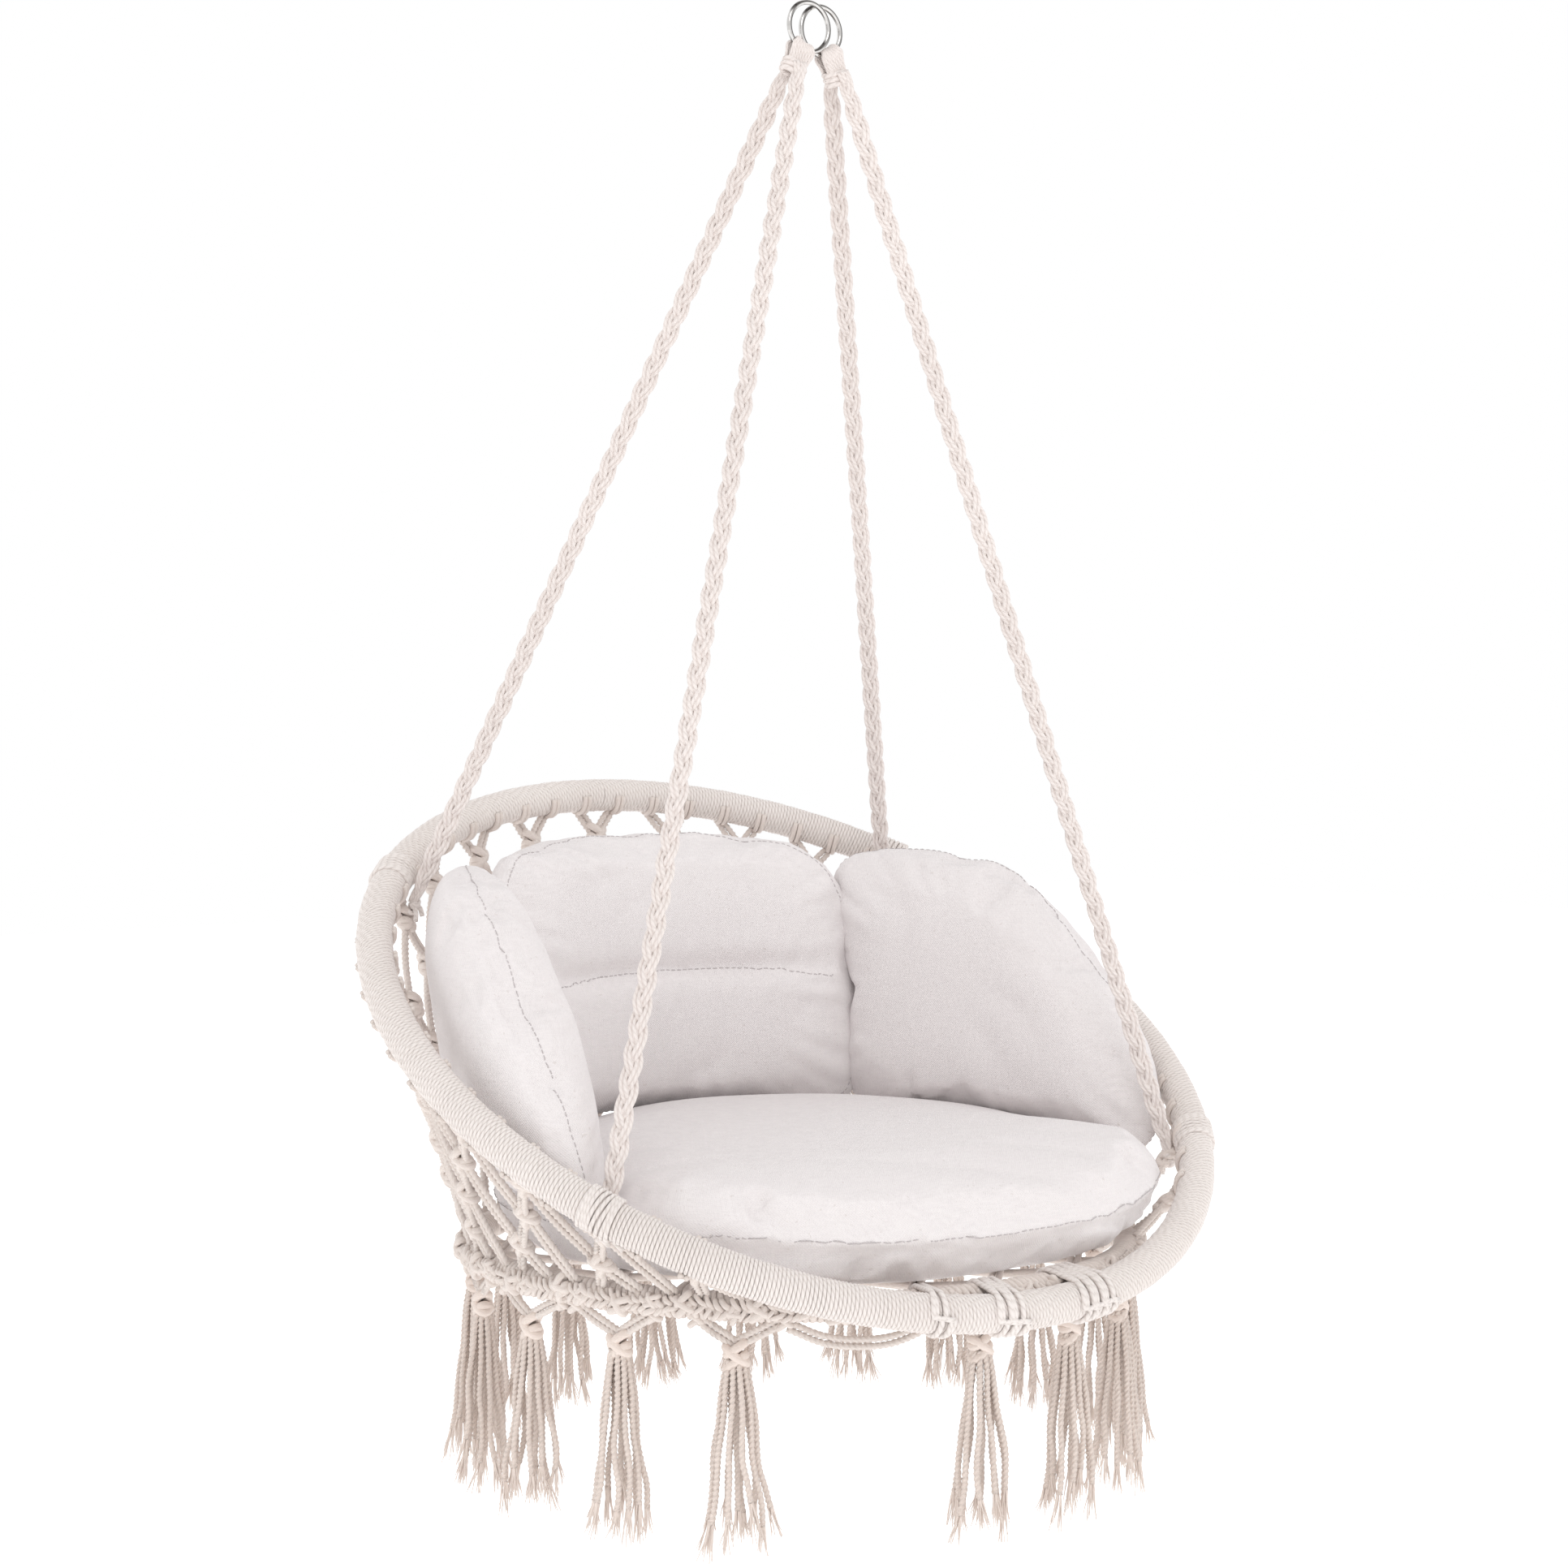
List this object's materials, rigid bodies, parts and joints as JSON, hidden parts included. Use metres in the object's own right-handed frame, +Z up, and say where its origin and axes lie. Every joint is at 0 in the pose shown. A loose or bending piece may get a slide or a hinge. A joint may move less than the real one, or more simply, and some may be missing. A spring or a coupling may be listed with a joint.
{
  "type": "hanging hammock chair",
  "caption": "Macrame hanging chair: a tilted wrapped rim hoop and a base hoop joined by a knotted net, hung by plaited ropes from steel rings, with loose cushions and tassels.",
  "frame": {"origin": "where a hook bears on the inside of the two hanging rings, at their tops", "axes": "+Z up, the chair faces -Y, +X is the sitter's left when facing forward"},
  "size_m": [0.802, 0.6945, 1.3027],
  "materials": {
    "ring_steel": "polished",
    "hoop_steel": "matt",
    "rope_cotton": "plaited",
    "wrap_cotton": "wound cord",
    "net_cotton": "knotted cord",
    "tassel_cotton": "twisted cord",
    "cushion_canvas": "woven canvas"
  },
  "bodies": {
    "rings": {"hanging_ring_left": "ring_steel", "hanging_ring_right": "ring_steel"},
    "strand_loops": {"strand_loop_left": "rope_cotton", "strand_loop_right": "rope_cotton"},
    "chair": {"whipping_left": "rope_cotton", "whipping_right": "rope_cotton", "rope_left_front": "rope_cotton", "rope_left_back": "rope_cotton", "rope_right_front": "rope_cotton", "rope_right_back": "rope_cotton", "hitch_left_front": "wrap_cotton", "hitch_left_back": "wrap_cotton", "hitch_right_front": "wrap_cotton", "hitch_right_back": "wrap_cotton", "rim_tube": "hoop_steel", "rim_wrapping": "wrap_cotton", "base_tube": "hoop_steel", "base_knot_cover": "wrap_cotton", "lashing_left": "wrap_cotton", "lashing_middle": "wrap_cotton", "lashing_right": "wrap_cotton", "net_left": "net_cotton", "net_back": "net_cotton", "net_right": "net_cotton", "seat_net": "net_cotton", "tassel_hangers": "tassel_cotton", "seat_cushion": "cushion_canvas", "back_cushion": "cushion_canvas", "side_cushion_left": "cushion_canvas", "side_cushion_right": "cushion_canvas"},
    "tassel_01": {"tassel_01": "tassel_cotton"},
    "tassel_02": {"tassel_02": "tassel_cotton"},
    "tassel_03": {"tassel_03": "tassel_cotton"},
    "tassel_04": {"tassel_04": "tassel_cotton"},
    "tassel_05": {"tassel_05": "tassel_cotton"},
    "tassel_06": {"tassel_06": "tassel_cotton"},
    "tassel_07": {"tassel_07": "tassel_cotton"},
    "tassel_08": {"tassel_08": "tassel_cotton"},
    "tassel_09": {"tassel_09": "tassel_cotton"},
    "tassel_10": {"tassel_10": "tassel_cotton"},
    "tassel_11": {"tassel_11": "tassel_cotton"},
    "tassel_12": {"tassel_12": "tassel_cotton"},
    "tassel_13": {"tassel_13": "tassel_cotton"},
    "tassel_14": {"tassel_14": "tassel_cotton"},
    "tassel_15": {"tassel_15": "tassel_cotton"},
    "tassel_16": {"tassel_16": "tassel_cotton"},
    "tassel_17": {"tassel_17": "tassel_cotton"}
  },
  "joints": [
    {"name": "swing", "type": "hinge", "parent": "rings", "child": "strand_loops", "pos_m": [0, 0, -0.03703], "axis": [1, 0, 0], "range_deg": [-25, 25], "deforming": ["strand_loop_left", "strand_loop_right"]},
    {"name": "sway", "type": "hinge", "parent": "strand_loops", "child": "chair", "pos_m": [0, 0, -0.03703], "axis": [0, 1, 0], "range_deg": [-10, 10], "deforming": ["strand_loop_left", "strand_loop_right"]},
    {"name": "tassel_01_dangle", "type": "hinge", "parent": "chair", "child": "tassel_01", "pos_m": [-0.03559, -0.26883, -1.11979], "axis": [0.9925, -0.1219, 0], "range_deg": [-20, 20]},
    {"name": "tassel_02_dangle", "type": "hinge", "parent": "chair", "child": "tassel_02", "pos_m": [0.06569, -0.26353, -1.11979], "axis": [0.9744, 0.225, 0], "range_deg": [-20, 20]},
    {"name": "tassel_03_dangle", "type": "hinge", "parent": "chair", "child": "tassel_03", "pos_m": [0.15904, -0.2239, -1.11979], "axis": [0.8387, 0.5446, 0], "range_deg": [-20, 20]},
    {"name": "tassel_04_dangle", "type": "hinge", "parent": "chair", "child": "tassel_04", "pos_m": [0.2332, -0.15474, -1.11979], "axis": [0.6018, 0.7986, 0], "range_deg": [-20, 20]},
    {"name": "tassel_05_dangle", "type": "hinge", "parent": "chair", "child": "tassel_05", "pos_m": [0.27924, -0.06438, -1.11979], "axis": [0.2924, 0.9563, 0], "range_deg": [-20, 20]},
    {"name": "tassel_06_dangle", "type": "hinge", "parent": "chair", "child": "tassel_06", "pos_m": [0.2916, 0.03627, -1.11979], "axis": [-0.0523, 0.9986, 0], "range_deg": [-20, 20]},
    {"name": "tassel_07_dangle", "type": "hinge", "parent": "chair", "child": "tassel_07", "pos_m": [0.26879, 0.13508, -1.11979], "axis": [-0.3907, 0.9205, 0], "range_deg": [-20, 20]},
    {"name": "tassel_08_dangle", "type": "hinge", "parent": "chair", "child": "tassel_08", "pos_m": [0.21355, 0.22013, -1.11979], "axis": [-0.682, 0.7314, 0], "range_deg": [-20, 20]},
    {"name": "tassel_09_dangle", "type": "hinge", "parent": "chair", "child": "tassel_09", "pos_m": [0.13256, 0.28116, -1.11979], "axis": [-0.891, 0.454, 0], "range_deg": [-20, 20]},
    {"name": "tassel_10_dangle", "type": "hinge", "parent": "chair", "child": "tassel_10", "pos_m": [0.03559, 0.31081, -1.11979], "axis": [-0.9925, 0.1219, 0], "range_deg": [-20, 20]},
    {"name": "tassel_11_dangle", "type": "hinge", "parent": "chair", "child": "tassel_11", "pos_m": [-0.06569, 0.30551, -1.11979], "axis": [-0.9744, -0.225, 0], "range_deg": [-20, 20]},
    {"name": "tassel_12_dangle", "type": "hinge", "parent": "chair", "child": "tassel_12", "pos_m": [-0.15904, 0.26588, -1.11979], "axis": [-0.8387, -0.5446, 0], "range_deg": [-20, 20]},
    {"name": "tassel_13_dangle", "type": "hinge", "parent": "chair", "child": "tassel_13", "pos_m": [-0.2332, 0.19672, -1.11979], "axis": [-0.6018, -0.7986, 0], "range_deg": [-20, 20]},
    {"name": "tassel_14_dangle", "type": "hinge", "parent": "chair", "child": "tassel_14", "pos_m": [-0.27924, 0.10636, -1.11979], "axis": [-0.2924, -0.9563, 0], "range_deg": [-20, 20]},
    {"name": "tassel_15_dangle", "type": "hinge", "parent": "chair", "child": "tassel_15", "pos_m": [-0.2916, 0.00571, -1.11979], "axis": [0.0523, -0.9986, 0], "range_deg": [-20, 20]},
    {"name": "tassel_16_dangle", "type": "hinge", "parent": "chair", "child": "tassel_16", "pos_m": [-0.26879, -0.0931, -1.11979], "axis": [0.3907, -0.9205, 0], "range_deg": [-20, 20]},
    {"name": "tassel_17_dangle", "type": "hinge", "parent": "chair", "child": "tassel_17", "pos_m": [-0.21355, -0.17815, -1.11979], "axis": [0.682, -0.7314, 0], "range_deg": [-20, 20]}
  ]
}
